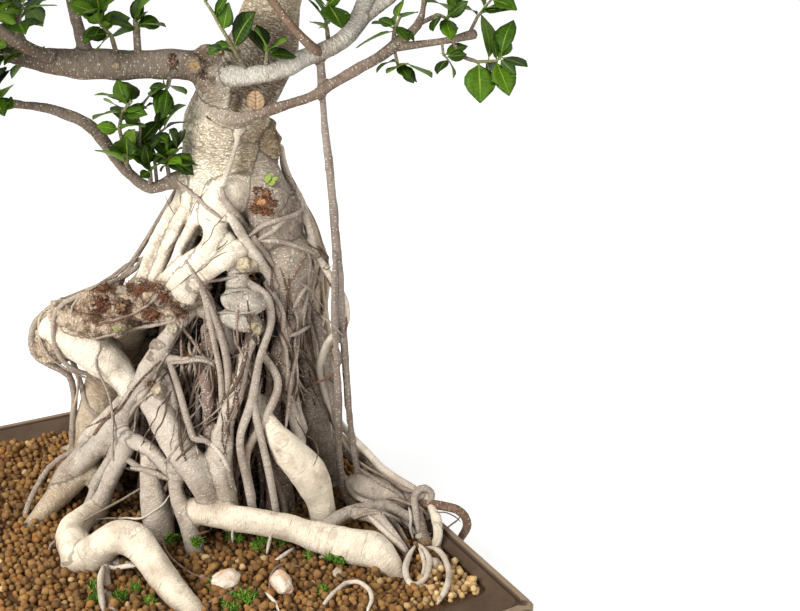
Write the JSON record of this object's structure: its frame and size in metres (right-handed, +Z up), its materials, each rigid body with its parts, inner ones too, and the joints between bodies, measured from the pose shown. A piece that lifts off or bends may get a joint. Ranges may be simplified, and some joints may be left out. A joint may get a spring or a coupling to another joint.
{
  "type": "ficus bonsai in a pot",
  "caption": "Ficus bonsai with a swelling trunk over a tall mass of exposed roots, sparse leafy sprays and a shallow rectangular clay pot of granular soil.",
  "frame": {"origin": "centre of the pot's underside", "axes": "+Z up, X along the pot's long side, Y along its short side; the tree's front looks towards +X and -Y"},
  "size_m": [0.65, 0.6056, 1.0127],
  "materials": {
    "clay": "matte unglazed fired clay, taupe brown",
    "granules": "baked ochre and brown soil granules, dry and matte",
    "bark": "pale cream to grey living bark with lenticels and fine crosswise wrinkles",
    "leaf": "living leaf, smooth and glossy, mid green with a paler midrib",
    "dry_leaf": "dry fallen leaf, matte tan",
    "pale_stone": "small rough pale stone, matte"
  },
  "bodies": {
    "root": {"pot": "clay", "soil": "granules", "wood": "bark", "pale_stone_1": "pale_stone", "pale_stone_2": "pale_stone", "dry_leaf": "dry_leaf", "spray_left_stub": "leaf", "spray_left_upper": "leaf", "spray_left_under": "leaf", "spray_low_left_b": "leaf", "spray_low_left_a": "leaf", "spray_low_left_d": "leaf", "spray_low_left_c": "leaf", "spray_low_left_end": "leaf", "spray_right_hanging": "leaf", "spray_right_bud": "leaf", "spray_right_top": "leaf", "spray_right_inner": "leaf", "spray_right_under": "leaf", "spray_right_small": "leaf", "spray_inner_front": "leaf", "spray_inner_top": "leaf", "spray_inner_right": "leaf", "spray_left_end": "leaf", "spray_left_front": "leaf", "spray_left_back": "leaf", "spray_left_rise": "leaf", "spray_crown_left": "leaf", "spray_crown_left_front": "leaf", "spray_crown_left_rise": "leaf", "spray_crown_right_back": "leaf", "spray_crown_right_mid": "leaf", "spray_crown_back": "leaf", "spray_crown_left_back": "leaf", "spray_right_rise": "leaf", "spray_right_fork": "leaf", "spray_right_tip": "leaf", "spray_front_rise": "leaf", "spray_top": "leaf", "spray_top_front": "leaf", "spray_back_low": "leaf", "spray_back_mid": "leaf"}
  },
  "joints": []
}
